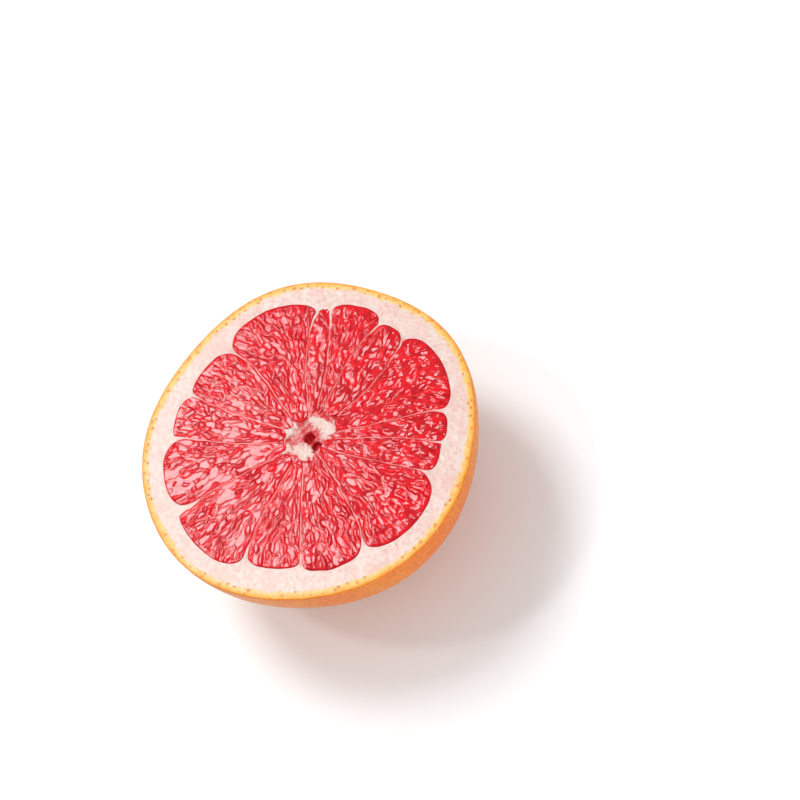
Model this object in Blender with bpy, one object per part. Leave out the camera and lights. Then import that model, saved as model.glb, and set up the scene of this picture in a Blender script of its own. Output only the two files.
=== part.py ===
"""Half of a grapefruit, cut across its widest place and lying on its blossom end with the cut face up.

Units are metres and +Z is up. The origin is in the middle of the small flat spot that the half rests on.
The half grew as one piece, so it is one solid: the peel's outer form, the level cut face, a shallow pocket
where each pulp segment sits a little below the pith and the membranes, the hollow in the core, and the
dimple of the blossom scar underneath.
"""

import math

import bmesh
import bpy

MM = 0.001

# The fruit's outer form
CUT_DIAMETER = 108.0 * MM  # mean width of the cut face, over the peel
HALF_HEIGHT = 46.5 * MM  # from the flat spot up to the cut face
REST_DIAMETER = 22.0 * MM  # the flat spot under the fruit

# Slow waves that keep the rim from being a true circle: lobes round the rim, height, direction in degrees
RIM_WAVES = (
    (1, 0.19 * MM, -138.0),
    (2, 0.21 * MM, 20.0),
    (3, 0.47 * MM, 55.0),
    (4, 0.46 * MM, -10.0),
    (5, 0.47 * MM, -6.0),
    (6, 0.13 * MM, 10.0),
)

# The pulp segments
POCKET_DEPTH = 0.8 * MM  # how far the pulp lies below the pith
MEMBRANE_THICKNESS = 0.9 * MM  # between two segments
SHOULDER = 6.0 * MM  # how far a wide segment's outer end drops towards its corners
NARROW_SHOULDER = 0.8  # the same on a narrow segment, as a share of its half width
SHOULDER_POWER = 2.5  # 2 is an ellipse, and more is squarer
SEGMENT_TIP = 9.4 * MM  # from the fruit's axis to a segment's tip
CORNER_INSET = 11.0 * MM  # from the rim in to where a membrane meets the pith

# Each membrane runs from the pith to the core. Its directions in degrees are at its outer end, half way
# and at its tip. The segment that follows it anticlockwise has peel and pith of a thickness in
# millimetres outside its middle, and leans in by that many millimetres from one corner to the middle.
SEGMENTS = (
    # outer, half way, tip, rind, lean
    (11.0, 3.5, -2.0, 9.4, 0.0),
    (24.0, 29.0, 26.0, 6.8, 0.0),
    (47.5, 43.0, 38.0, 9.9, 0.0),
    (53.5, 58.5, 56.0, 6.7, 1.3),
    (95.3, 90.8, 93.0, 8.1, 0.0),
    (120.1, 122.6, 123.0, 8.3, 0.0),
    (140.7, 144.5, 153.0, 7.3, 0.0),
    (174.2, 173.7, 178.0, 7.1, 1.0),
    (211.1, 208.0, 209.5, 9.6, 0.0),
    (235.3, 234.0, 232.0, 8.3, 0.0),
    (263.0, 266.9, 267.0, 7.1, 0.0),
    (303.2, 301.3, 293.0, 9.6, 0.0),
    (317.2, 318.8, 316.0, 8.5, 0.0),
    (331.8, 331.8, 327.5, 6.8, 0.5),
)

# The hollow in the core is two tapered holes that run into each other
CORE_HOLLOW_DEPTH = 9.0 * MM
CORE_HOLE_MOUTH = 6.4 * MM
CORE_HOLE_END = 3.0 * MM
SIDE_HOLE_MOUTH = 4.6 * MM
SIDE_HOLE_END = 2.4 * MM
SIDE_HOLE_OFFSET = 3.7 * MM  # towards -Y from the fruit's axis

# The blossom scar, a shallow dimple in the flat spot
SCAR_DIAMETER = 3.2 * MM
SCAR_DEPTH = 0.5 * MM

# How finely the round forms are divided
RIM_SIDES = 96
RINGS = 44
HOLE_SIDES = 20
SHOULDER_STEPS = 12
SIDE_STEPS = 5
CUTTER_MARGIN = 2.0 * MM  # how far a cutter stands out of the face it cuts

CUT_RADIUS = CUT_DIAMETER / 2
REST_RADIUS = REST_DIAMETER / 2
SEGMENT_CORNER = CUT_RADIUS - CORNER_INSET


def clear_scene():
    """Removes every object of the scene it starts from."""
    for obj in list(bpy.data.objects):
        bpy.data.objects.remove(obj)


def new_collection(name):
    """A collection linked to the scene."""
    collection = bpy.data.collections.new(name)
    bpy.context.scene.collection.children.link(collection)
    return collection


def new_material(name, colour, roughness):
    """A Principled material of one colour."""
    material = bpy.data.materials.new(name)
    material.use_nodes = True
    material.diffuse_color = (*colour, 1.0)
    shader = material.node_tree.nodes["Principled BSDF"]
    shader.inputs["Base Color"].default_value = (*colour, 1.0)
    shader.inputs["Roughness"].default_value = roughness
    shader.inputs["Metallic"].default_value = 0.0
    return material


def wave(angle):
    """How far the rim stands outside its mean circle in that direction."""
    return sum(height * math.cos(lobes * (angle - math.radians(turn))) for lobes, height, turn in RIM_WAVES)


def rim_radius(angle):
    """From the fruit's axis to the rim of the cut."""
    return CUT_RADIUS + wave(angle)


def axis_offset():
    """Where the fruit's axis stands, so that the box round the rim is centred on the origin."""
    angles = [math.tau * step / RIM_SIDES for step in range(RIM_SIDES)]
    across = [rim_radius(angle) * math.cos(angle) for angle in angles]
    along = [rim_radius(angle) * math.sin(angle) for angle in angles]
    return -(min(across) + max(across)) / 2, -(min(along) + max(along)) / 2


def membrane_angle(directions, radius):
    """A membrane's direction in radians at that distance from the axis, on a curve through its three."""
    outer, middle, tip = directions
    share = (SEGMENT_CORNER - radius) / (SEGMENT_CORNER - SEGMENT_TIP)
    bow = middle - (outer + tip) / 2
    return math.radians(outer + (tip - outer) * share + 4 * bow * share * (1 - share))


def segment_outline(first, second, rind, lean):
    """Points round one pulp segment, anticlockwise, between the membranes first and second."""

    def place(radius, across):
        """A point at that distance from the axis, with across from -1 at the first membrane to 1."""
        start = membrane_angle(first, radius)
        end = membrane_angle(second, radius)
        half_width = (end - start) / 2
        room = max(0.0, half_width - MEMBRANE_THICKNESS / 2 / radius)
        angle = (start + end) / 2 + across * room
        return radius * math.cos(angle), radius * math.sin(angle)

    half_width = math.radians(second[0] - first[0]) / 2 * SEGMENT_CORNER
    shoulder = min(SHOULDER, NARROW_SHOULDER * half_width)
    middle_angle = math.radians(first[0] + second[0]) / 2
    peak = rim_radius(middle_angle) - rind
    corner = peak - shoulder

    def side(across):
        """The points of one side, from its tip outwards, without its tip and its corner."""
        steps = [step / SIDE_STEPS for step in range(1, SIDE_STEPS)]
        return [place(SEGMENT_TIP + (corner - SEGMENT_TIP) * step, across) for step in steps]

    outer_end = []
    for step in range(SHOULDER_STEPS + 1):
        # Even steps of an angle put more points at the corners, where the end turns most.
        across = -math.cos(math.pi * step / SHOULDER_STEPS)
        rise = (1 - abs(across) ** SHOULDER_POWER) ** (1 / SHOULDER_POWER)
        outer_end.append(place(corner + shoulder * rise - lean * across * rise, across))
    return [place(SEGMENT_TIP, 0.0), *side(-1.0), *outer_end, *reversed(side(1.0))]


def mesh_from_curve(curve, collection):
    """Replaces a filled curve by a mesh of the same shape with its caps welded on."""
    bpy.context.view_layer.update()
    evaluated = curve.evaluated_get(bpy.context.evaluated_depsgraph_get())
    mesh = bpy.data.meshes.new_from_object(evaluated)
    shape = bmesh.new()
    shape.from_mesh(mesh)
    bmesh.ops.remove_doubles(shape, verts=shape.verts, dist=0.001 * MM)
    bmesh.ops.recalc_face_normals(shape, faces=shape.faces)
    shape.to_mesh(mesh)
    shape.free()
    obj = bpy.data.objects.new(curve.name + "_solid", mesh)
    obj.matrix_world = curve.matrix_world
    collection.objects.link(obj)
    bpy.data.objects.remove(curve)
    return obj


def make_pockets(collection, material):
    """The cutter of the pulp segments' pockets: one flat prism for each segment."""
    data = bpy.data.curves.new("segment_pockets", "CURVE")
    data.dimensions = "2D"
    data.fill_mode = "BOTH"
    data.extrude = (POCKET_DEPTH + CUTTER_MARGIN) / 2
    following = (*SEGMENTS[1:], (SEGMENTS[0][0] + 360.0, SEGMENTS[0][1] + 360.0, SEGMENTS[0][2] + 360.0))
    for here, after in zip(SEGMENTS, following):
        rind, lean = here[3] * MM, here[4] * MM
        outline = segment_outline(here[:3], after[:3], rind, lean)
        spline = data.splines.new("POLY")
        spline.points.add(len(outline) - 1)
        for point, (x, y) in zip(spline.points, outline):
            point.co = (x, y, 0.0, 1.0)
        spline.use_cyclic_u = True
    curve = bpy.data.objects.new("segment_pockets", data)
    curve.location.z = HALF_HEIGHT + (CUTTER_MARGIN - POCKET_DEPTH) / 2
    collection.objects.link(curve)
    cutter = mesh_from_curve(curve, collection)
    cutter.data.materials.clear()
    cutter.data.materials.append(material)
    return cutter


def make_taper(name, mouth, end, offset, collection, material):
    """A cutter for one tapered hole of the core, from the cut face down."""
    depth = CORE_HOLLOW_DEPTH + CUTTER_MARGIN
    # The taper goes on above the cut face, so that the hole is exactly as wide as its mouth there.
    top = mouth + (mouth - end) * CUTTER_MARGIN / CORE_HOLLOW_DEPTH
    mesh = bpy.data.meshes.new(name)
    shape = bmesh.new()
    bmesh.ops.create_cone(
        shape, cap_ends=True, segments=HOLE_SIDES, radius1=end / 2, radius2=top / 2, depth=depth
    )
    shape.to_mesh(mesh)
    shape.free()
    mesh.materials.append(material)
    obj = bpy.data.objects.new(name, mesh)
    obj.location = (0.0, -offset, HALF_HEIGHT + CUTTER_MARGIN - depth / 2)
    collection.objects.link(obj)
    return obj


def make_scar(collection, material):
    """The cutter of the blossom scar: a ball that reaches just into the flat spot."""
    ball_radius = (SCAR_DIAMETER**2 / 4 + SCAR_DEPTH**2) / (2 * SCAR_DEPTH)
    mesh = bpy.data.meshes.new("blossom_scar")
    shape = bmesh.new()
    bmesh.ops.create_uvsphere(shape, u_segments=HOLE_SIDES, v_segments=HOLE_SIDES, radius=ball_radius)
    shape.to_mesh(mesh)
    shape.free()
    mesh.materials.append(material)
    obj = bpy.data.objects.new("blossom_scar", mesh)
    obj.location.z = SCAR_DEPTH - ball_radius
    collection.objects.link(obj)
    return obj


def make_half(collection, peel, pith):
    """The fruit's outer form, closed by the cut face and the flat spot."""
    # The flat spot cuts this ellipsoid off where it is exactly as wide as the spot.
    ellipsoid_depth = HALF_HEIGHT / math.sqrt(1 - (REST_RADIUS / CUT_RADIUS) ** 2)
    mesh = bpy.data.meshes.new("grapefruit_half")
    shape = bmesh.new()
    bmesh.ops.create_uvsphere(shape, u_segments=RIM_SIDES, v_segments=RINGS, radius=1.0)
    bmesh.ops.scale(shape, vec=(CUT_RADIUS, CUT_RADIUS, ellipsoid_depth), verts=shape.verts)
    bmesh.ops.translate(shape, vec=(0.0, 0.0, HALF_HEIGHT), verts=shape.verts)
    for height, outwards in ((HALF_HEIGHT, 1.0), (0.0, -1.0)):
        everything = [*shape.verts, *shape.edges, *shape.faces]
        bmesh.ops.bisect_plane(
            shape,
            geom=everything,
            dist=0.001 * MM,
            plane_co=(0.0, 0.0, height),
            plane_no=(0.0, 0.0, outwards),
            clear_outer=True,
        )
        open_edges = [edge for edge in shape.edges if edge.is_boundary]
        bmesh.ops.holes_fill(shape, edges=open_edges, sides=0)
    for vertex in shape.verts:
        angle = math.atan2(vertex.co.y, vertex.co.x)
        width = math.hypot(vertex.co.x, vertex.co.y) / CUT_RADIUS
        # The waves die out towards the blossom end, so that the flat spot stays round.
        swell = 1 + wave(angle) / CUT_RADIUS * width
        vertex.co.x *= swell
        vertex.co.y *= swell
    bmesh.ops.recalc_face_normals(shape, faces=shape.faces)
    for face in shape.faces:
        face.smooth = abs(face.normal.z) < 0.999
        face.material_index = 1 if face.normal.z > 0.999 else 0
    shape.to_mesh(mesh)
    shape.free()
    mesh.materials.append(peel)
    mesh.materials.append(pith)
    obj = bpy.data.objects.new("grapefruit_half", mesh)
    collection.objects.link(obj)
    return obj


def cut(obj, cutter):
    """Takes the cutter's shape out of the object, and keeps the cutter as a hidden helper that follows it."""
    cutter.parent = obj
    cutter.hide_render = True
    cutter.display_type = "WIRE"
    modifier = obj.modifiers.new(cutter.name, "BOOLEAN")
    modifier.operation = "DIFFERENCE"
    modifier.solver = "EXACT"
    modifier.material_mode = "TRANSFER"
    modifier.object = cutter


def main():
    """Builds the half and places it."""
    clear_scene()
    fruit = new_collection("grapefruit_half")
    cutters = new_collection("cutters")
    peel = new_material("peel", (0.83, 0.27, 0.045), 0.42)
    pith = new_material("pith", (0.86, 0.68, 0.60), 0.6)
    pulp = new_material("pulp", (0.62, 0.03, 0.035), 0.2)
    core = new_material("core", (0.42, 0.10, 0.08), 0.6)
    scar = new_material("scar", (0.30, 0.17, 0.08), 0.8)

    half = make_half(fruit, peel, pith)
    cut(half, make_pockets(cutters, pulp))
    cut(half, make_taper("core_hole", CORE_HOLE_MOUTH, CORE_HOLE_END, 0.0, cutters, core))
    cut(half, make_taper("side_hole", SIDE_HOLE_MOUTH, SIDE_HOLE_END, SIDE_HOLE_OFFSET, cutters, core))
    cut(half, make_scar(cutters, scar))
    half.location.x, half.location.y = axis_offset()


main()
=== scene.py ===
"""Half of a red grapefruit, lying on its blossom end with the wet cut face up, in a plain white studio.

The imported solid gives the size. Round it this script builds the peel, the pith, the membranes, the core and
the pulp of each segment with its juice sacs, then the floor, the light and the camera.
"""

import logging
import math
from contextlib import contextmanager
from dataclasses import dataclass
from enum import Enum
from typing import Callable, Iterator, Sequence

import bpy
import numpy as np
from mathutils import Matrix, Quaternion, Vector
from mathutils.kdtree import KDTree


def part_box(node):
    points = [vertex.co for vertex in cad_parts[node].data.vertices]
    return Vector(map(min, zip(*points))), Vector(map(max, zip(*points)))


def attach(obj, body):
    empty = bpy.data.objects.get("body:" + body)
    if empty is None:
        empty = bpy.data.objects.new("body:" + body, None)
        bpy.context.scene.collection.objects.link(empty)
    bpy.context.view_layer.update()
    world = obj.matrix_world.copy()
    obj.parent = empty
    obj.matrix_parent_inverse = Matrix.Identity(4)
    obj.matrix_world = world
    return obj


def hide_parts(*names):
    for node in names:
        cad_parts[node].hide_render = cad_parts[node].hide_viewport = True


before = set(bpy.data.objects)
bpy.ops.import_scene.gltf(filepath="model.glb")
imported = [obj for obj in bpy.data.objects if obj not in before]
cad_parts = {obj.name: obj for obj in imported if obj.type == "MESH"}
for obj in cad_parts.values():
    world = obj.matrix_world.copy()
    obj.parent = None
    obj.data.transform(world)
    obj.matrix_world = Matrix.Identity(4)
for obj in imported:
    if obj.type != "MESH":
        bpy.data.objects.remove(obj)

log = logging.getLogger("grapefruit")

MM = 0.001
TURN = 2.0 * math.pi
NODE = "grapefruit_half"
BODY = "root"

Array = np.ndarray
Colour = tuple[float, float, float]
Ring = Callable[[Array], Array]  # gives the points of a ring from their directions in radians


class Slot(Enum):
    """The record's material slots."""

    PEEL = "peel"
    PITH = "pith"
    PULP = "pulp"


# ---------------------------------------------------------------------------------------------------------
# Numbers over a surface
# ---------------------------------------------------------------------------------------------------------


def smoothstep(low: float, high: float, value: Array) -> Array:
    """Rises smoothly from 0 at low to 1 at high.

    Args:
        low: The value that gives 0.
        high: The value that gives 1.
        value: Where to read it.

    Returns:
        The smooth step, element by element.
    """
    share = np.clip((value - low) / (high - low), 0.0, 1.0)
    return share * share * (3.0 - 2.0 * share)


def smooth_max(first: Array, second: Array, width: float) -> Array:
    """The larger of two heights, with a fillet where they cross.

    Args:
        first: One height.
        second: The other height.
        width: How far apart the two are where the fillet starts.

    Returns:
        The joined height.
    """
    near = np.clip(1.0 - np.abs(first - second) / width, 0.0, 1.0)
    return np.maximum(first, second) + near * near * width * 0.25


class SmoothNoise:
    """Smooth random values over a plane, from -1 to 1, the same each run."""

    SIZE = 256

    def __init__(self, seed: int) -> None:
        """Fills the lattice that the values are read from.

        Args:
            seed: Chooses the pattern.
        """
        self.lattice = np.random.default_rng(seed).uniform(-1.0, 1.0, (self.SIZE, self.SIZE))

    def at(self, x: Array, y: Array) -> Array:
        """Reads the noise, whose waves are about one unit long.

        Args:
            x: First coordinate.
            y: Second coordinate.

        Returns:
            One value for each point.
        """
        x, y = np.broadcast_arrays(np.asarray(x, float), np.asarray(y, float))
        column = np.floor(x).astype(int)
        row = np.floor(y).astype(int)
        across = smoothstep(0.0, 1.0, x - column)
        along = smoothstep(0.0, 1.0, y - row)
        sides = []
        for line in (row % self.SIZE, (row + 1) % self.SIZE):
            left = self.lattice[column % self.SIZE, line]
            right = self.lattice[(column + 1) % self.SIZE, line]
            sides.append(left * (1 - across) + right * across)
        near, far = sides
        return near * (1 - along) + far * along

    def bend(
        self, x: Array, y: Array, waves: Sequence[tuple[float, float]], apart: float
    ) -> tuple[Array, Array]:
        """Shifts points a little, so that smooth outlines become uneven.

        Args:
            x: First coordinate.
            y: Second coordinate.
            waves: How far each wave shifts a point, and how long the wave is.
            apart: How far apart in the noise the shifts of x and of y are read.

        Returns:
            The shifted coordinates.
        """
        bent_x = x + sum(far * self.at(x / length, y / length) for far, length in waves)
        bent_y = y + sum(far * self.at(x / length + apart, y / length) for far, length in waves)
        return bent_x, bent_y


# ---------------------------------------------------------------------------------------------------------
# The fruit's form
# ---------------------------------------------------------------------------------------------------------


@dataclass(frozen=True)
class Wave:
    """One slow wave round the rim."""

    lobes: int
    height: float
    turn: float  # degrees


@dataclass
class FruitForm:
    """The outer form of the half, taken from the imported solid's box."""

    low: Vector
    high: Vector
    rest_radius: float = 11.0 * MM
    corner_inset: float = 11.0 * MM  # from the rim in to where a membrane meets the pith
    inner_reach: float = 9.4 * MM  # from the axis to where the membranes' directions end
    waves: tuple[Wave, ...] = (
        Wave(1, 0.19 * MM, -138.0),
        Wave(2, 0.21 * MM, 20.0),
        Wave(3, 0.47 * MM, 55.0),
        Wave(4, 0.46 * MM, -10.0),
        Wave(5, 0.47 * MM, -6.0),
        Wave(6, 0.13 * MM, 10.0),
    )

    def __post_init__(self) -> None:
        """Works out the mean radius and the place of the fruit's axis."""
        self.height = self.high.z
        angles = np.linspace(0.0, TURN, 721)
        wanted = (self.high.x - self.low.x) + (self.high.y - self.low.y)
        self.cut_radius = wanted / 4
        for _ in range(4):
            rim = self.rim(angles)
            x, y = rim * np.cos(angles), rim * np.sin(angles)
            self.cut_radius += (wanted - np.ptp(x) - np.ptp(y)) / 4
        self.axis = np.array([-(x.min() + x.max()) / 2, -(y.min() + y.max()) / 2])
        self.pole_depth = self.height / math.sqrt(1 - (self.rest_radius / self.cut_radius) ** 2)
        self.corner_radius = self.cut_radius - self.corner_inset

    def wave(self, angle: Array) -> Array:
        """How far the rim stands outside its mean circle."""
        return sum(w.height * np.cos(w.lobes * (angle - math.radians(w.turn))) for w in self.waves)

    def rim(self, angle: Array) -> Array:
        """From the fruit's axis to the rim of the cut."""
        return self.cut_radius + self.wave(angle)

    def skin(self, angle: Array, fall: Array, depth: Array) -> Array:
        """A point in the rind.

        Args:
            angle: Direction round the axis, in radians.
            fall: 1 at the level of the cut, 0 at the blossom end, as a share of a right angle.
            depth: How far under the skin.

        Returns:
            Coordinates, with x, y and z last.
        """
        lean = fall * math.pi / 2
        swell = 1 + self.wave(angle) / self.cut_radius * np.sin(lean)
        reach = (self.cut_radius * swell - depth) * np.sin(lean)
        z = self.height - (self.pole_depth - depth) * np.cos(lean)
        return self.point(angle, reach, np.maximum(z, depth))

    def point(self, angle: Array, reach: Array, z: Array) -> Array:
        """A point given round the fruit's axis.

        Args:
            angle: Direction in radians.
            reach: Distance from the axis.
            z: Height.

        Returns:
            Coordinates, with x, y and z last.
        """
        x = self.axis[0] + reach * np.cos(angle)
        y = self.axis[1] + reach * np.sin(angle)
        return np.stack(np.broadcast_arrays(x, y, z), axis=-1)


@dataclass(frozen=True)
class MembranePlan:
    """A membrane's course, as directions in degrees, and its thickness where it leaves the pith."""

    outer: float
    half_way: float
    tip: float
    root: float  # millimetres

    def turned(self) -> "MembranePlan":
        """The same membrane one whole turn further on."""
        return MembranePlan(self.outer + 360, self.half_way + 360, self.tip + 360, self.root)


@dataclass(frozen=True)
class SegmentPlan:
    """One pulp segment. Lengths are in millimetres."""

    name: str
    peak: float  # from the axis to the furthest point of its outer end
    corners: tuple[float, float]  # from the axis to its two outer corners
    tip: float  # from the axis to its inner end
    film: float  # level of the juice that lies between its sacs
    sac_width: float
    sac_length: float
    focus: tuple[float, float] | None = None  # where its sacs fan out from
    fan: float = 0.0  # 0 for sacs that point at the axis, 1 for sacs that point at the focus
    beads: tuple[tuple[float, float, float], ...] = ()  # round sacs: x, y, radius
    shoulder: float = 1.6  # how far in from its outer end the pulp reaches its full height


MEMBRANES = (
    MembranePlan(11.0, 3.5, -2.0, 1.0),
    MembranePlan(24.0, 29.0, 26.0, 0.9),
    MembranePlan(47.5, 43.0, 38.0, 1.0),
    MembranePlan(53.5, 58.5, 56.0, 1.2),
    MembranePlan(95.3, 90.8, 93.0, 1.3),
    MembranePlan(120.1, 122.6, 123.0, 1.2),
    MembranePlan(140.7, 144.5, 153.0, 1.3),
    MembranePlan(174.2, 173.7, 178.0, 1.9),
    MembranePlan(211.1, 208.0, 209.5, 1.3),
    MembranePlan(235.3, 234.0, 232.0, 1.3),
    MembranePlan(263.0, 266.9, 267.0, 1.0),
    MembranePlan(303.2, 301.3, 293.0, 1.0),
    MembranePlan(317.2, 318.8, 316.0, 0.9),
    MembranePlan(331.8, 331.8, 327.5, 1.0),
)

# Each segment follows the membrane of the same number, anticlockwise.
SEGMENTS = (
    SegmentPlan("pulp_01", 44.1, (41.0, 41.7), 9.6, -0.2, 1.4, 4.5),
    SegmentPlan("pulp_02", 46.4, (42.4, 43.6), 8.0, -0.2, 1.3, 4.0, (29.7, 31.3), 0.6),
    SegmentPlan("pulp_03", 44.3, (43.4, 43.2), 7.6, -0.2, 1.2, 4.0),
    SegmentPlan("pulp_04", 48.1, (42.8, 38.0), 5.6, -0.08, 1.3, 4.0, (12.0, 22.0), 0.8),
    SegmentPlan("pulp_05", 44.6, (40.0, 42.7), 5.8, -0.05, 1.1, 4.5),
    SegmentPlan("pulp_06", 45.3, (40.0, 43.9), 6.8, -0.03, 1.3, 3.6, shoulder=0.4),
    SegmentPlan("pulp_07", 47.2, (41.2, 41.6), 7.2, -0.04, 1.3, 3.6, (-22.0, 10.0), 0.5, shoulder=0.4),
    SegmentPlan(
        "pulp_08",
        47.7,
        (46.0, 41.6),
        7.8,
        -0.04,
        1.3,
        3.6,
        beads=((-43.2, 0.0, 1.3), (-43.6, -11.2, 1.5), (-40.5, -14.0, 1.7)),
        shoulder=0.4,
    ),
    SegmentPlan("pulp_09", 44.0, (42.1, 41.0), 8.4, -0.08, 1.2, 4.2, shoulder=0.8),
    SegmentPlan("pulp_10", 45.5, (41.8, 39.7), 7.6, -0.08, 1.2, 4.2, shoulder=0.8),
    SegmentPlan("pulp_11", 47.5, (41.0, 37.9), 5.8, -0.13, 1.3, 4.0, (2.0, -26.0), 0.4),
    SegmentPlan("pulp_12", 43.8, (40.1, 43.3), 6.4, -0.16, 1.3, 4.0),
    SegmentPlan("pulp_13", 44.9, (42.4, 41.6), 6.6, -0.2, 1.4, 4.0),
    SegmentPlan("pulp_14", 47.6, (42.7, 40.4), 9.6, -0.2, 1.4, 4.0, (38.9, 3.8), 0.5),
)


class Anatomy:
    """Where the membranes run and where each segment lies."""

    THIN = 0.30 * MM  # a membrane's thickness along most of its course
    FLARE = 7.0 * MM  # how far from the corner a membrane starts to thicken
    WOBBLE = 0.28 * MM
    END_POWER = 2.5  # 2 would make a segment's outer end an ellipse, and more makes it squarer
    TIP_ROUND = 2.2 * MM  # how far back a tip's corners lie
    TIP_POWER = 2.5

    def __init__(self, form: FruitForm) -> None:
        """Keeps the form and sets up the wobble of every course.

        Args:
            form: The fruit's outer form.
        """
        self.form = form
        self.noise = SmoothNoise(11)

    def course(self, number: int, reach: Array) -> Array:
        """A membrane's direction at a distance from the axis.

        Args:
            number: Which membrane. The number after the last is the first, one turn on.
            reach: Distance from the axis.

        Returns:
            Direction in radians.
        """
        count = len(MEMBRANES)
        plan = MEMBRANES[number] if number < count else MEMBRANES[number - count].turned()
        form = self.form
        share = (form.corner_radius - reach) / (form.corner_radius - form.inner_reach)
        share = np.clip(share, 0.0, 1.2)
        bow = plan.half_way - (plan.outer + plan.tip) / 2
        degrees = plan.outer + (plan.tip - plan.outer) * share + 4 * bow * share * (1 - share)
        line = (number % count) * 7.3
        sway = self.noise.at(reach / (4.0 * MM), line) + 0.4 * self.noise.at(reach / (1.5 * MM), line + 3.1)
        return np.radians(degrees) + self.WOBBLE * sway / np.maximum(reach, 4.0 * MM)

    def thickness(self, number: int, reach: Array) -> Array:
        """A membrane's thickness at a distance from the axis."""
        plan = MEMBRANES[number % len(MEMBRANES)]
        start = self.form.corner_radius
        flare = smoothstep(start - self.FLARE, start + 1.0 * MM, reach) ** 1.6
        uneven = 1.0 + 0.25 * self.noise.at(reach / (2.2 * MM), 40.0 + number % len(MEMBRANES) * 5.0)
        return (self.THIN + (plan.root * MM - self.THIN) * flare) * uneven

    def outer_end(self, number: int, across: Array) -> Array:
        """From the axis to a segment's outer end.

        Args:
            number: Which segment.
            across: From -1 at its first membrane to 1 at its second.

        Returns:
            Distance from the axis.
        """
        plan = SEGMENTS[number]
        first, second = plan.corners
        corner = (first + (second - first) * (across + 1) / 2) * MM
        rise = (1 - np.minimum(np.abs(across), 1.0) ** self.END_POWER) ** (1 / self.END_POWER)
        ripple = self.noise.at(across * 2.6 + number * 9.7, 0.5) * 0.35 * MM * rise
        return corner + (plan.peak * MM - corner) * rise + ripple

    def inner_end(self, number: int, across: Array) -> Array:
        """From the axis to a segment's rounded tip."""
        return SEGMENTS[number].tip * MM + self.TIP_ROUND * np.abs(across) ** self.TIP_POWER

    def place(self, number: int, across: Array, out: Array) -> tuple[Array, Array]:
        """Maps a square onto a segment.

        Args:
            number: Which segment.
            across: From -1 at its first membrane to 1 at its second.
            out: From 0 at its tip to 1 at its outer end.

        Returns:
            Direction in radians and distance from the axis.
        """
        start = self.inner_end(number, across)
        reach = start + (self.outer_end(number, across) - start) * out
        low = self.course(number, reach) + self.thickness(number, reach) / 2 / reach
        high = self.course(number + 1, reach) - self.thickness(number + 1, reach) / 2 / reach
        return low + (high - low) * (across + 1) / 2, reach

    def pith_edge(self, angle: Array) -> Array:
        """From the axis to the inner border of the pith ring, just under the pulp's outer ends."""
        across = -np.cos(np.linspace(0.0, math.pi, 61))
        angles, reaches = [], []
        for number in range(len(SEGMENTS)):
            turn, reach = self.place(number, across, np.ones_like(across))
            angles.append(turn)
            reaches.append(reach)
        angles = np.concatenate(angles)
        reaches = np.concatenate(reaches)
        order = np.argsort(angles)
        return np.interp(angle, angles[order], reaches[order], period=TURN) - 0.5 * MM


# ---------------------------------------------------------------------------------------------------------
# Mesh work
# ---------------------------------------------------------------------------------------------------------


@contextmanager
def editing(piece: bpy.types.Object) -> Iterator[None]:
    """Edit mode on one piece, with nothing of it selected at first.

    Args:
        piece: The piece to edit.

    Yields:
        Nothing.
    """
    bpy.ops.object.select_all(action="DESELECT")
    piece.select_set(True)
    bpy.context.view_layer.objects.active = piece
    bpy.ops.object.mode_set(mode="EDIT")
    bpy.ops.mesh.select_all(action="DESELECT")
    try:
        yield
    finally:
        bpy.ops.object.mode_set(mode="OBJECT")


def add_sheet(name: str, columns: int, rows: int) -> tuple[bpy.types.Object, Array, Array]:
    """Adds a flat grid that is then drawn into shape.

    Args:
        name: The piece's name.
        columns: Cells along the grid's first side.
        rows: Cells along its second side.

    Returns:
        The piece, and each vertex's place along the first and the second side, from 0 to 1.
    """
    bpy.ops.object.select_all(action="DESELECT")
    bpy.ops.mesh.primitive_grid_add(x_subdivisions=columns, y_subdivisions=rows, size=2.0)
    piece = bpy.context.object
    piece.name = name
    piece.data.name = name
    places = vertex_places(piece)
    column = np.round((places[:, 0] + 1) / 2 * columns) / columns
    row = np.round((places[:, 1] + 1) / 2 * rows) / rows
    return piece, column, row


def blur(values: Array, column: Array, row: Array, columns: int, rows: int) -> Array:
    """Evens out the values on a grid's vertices with those of their nearest neighbours.

    Args:
        values: One number for each vertex.
        column: Each vertex's place along the first side, from 0 to 1.
        row: Its place along the second side.
        columns: Cells along the first side.
        rows: Cells along the second side.

    Returns:
        The evened numbers.
    """
    i = np.round(column * columns).astype(int)
    j = np.round(row * rows).astype(int)
    table = np.empty((columns + 1, rows + 1))
    table[i, j] = values
    table[1:-1] = (table[:-2] + 2 * table[1:-1] + table[2:]) / 4
    table[:, 1:-1] = (table[:, :-2] + 2 * table[:, 1:-1] + table[:, 2:]) / 4
    return table[i, j]


def vertex_places(piece: bpy.types.Object) -> Array:
    """The places of a piece's vertices, one row each."""
    places = np.empty(len(piece.data.vertices) * 3)
    piece.data.vertices.foreach_get("co", places)
    return places.reshape(-1, 3)


def move_vertices(piece: bpy.types.Object, places: Array) -> None:
    """Puts a piece's vertices where they belong."""
    piece.data.vertices.foreach_set("co", places.astype(np.float32).ravel())
    piece.data.update()


def paint(piece: bpy.types.Object, name: str, values: Array) -> None:
    """Stores one number for each vertex, which the finish reads.

    Args:
        piece: The piece.
        name: The attribute's name.
        values: One number for each vertex, or three.
    """
    kind = "FLOAT" if values.ndim == 1 else "FLOAT_VECTOR"
    layer = piece.data.attributes.new(name, kind, "POINT")
    layer.data.foreach_set("value" if values.ndim == 1 else "vector", values.astype(np.float32).ravel())


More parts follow.
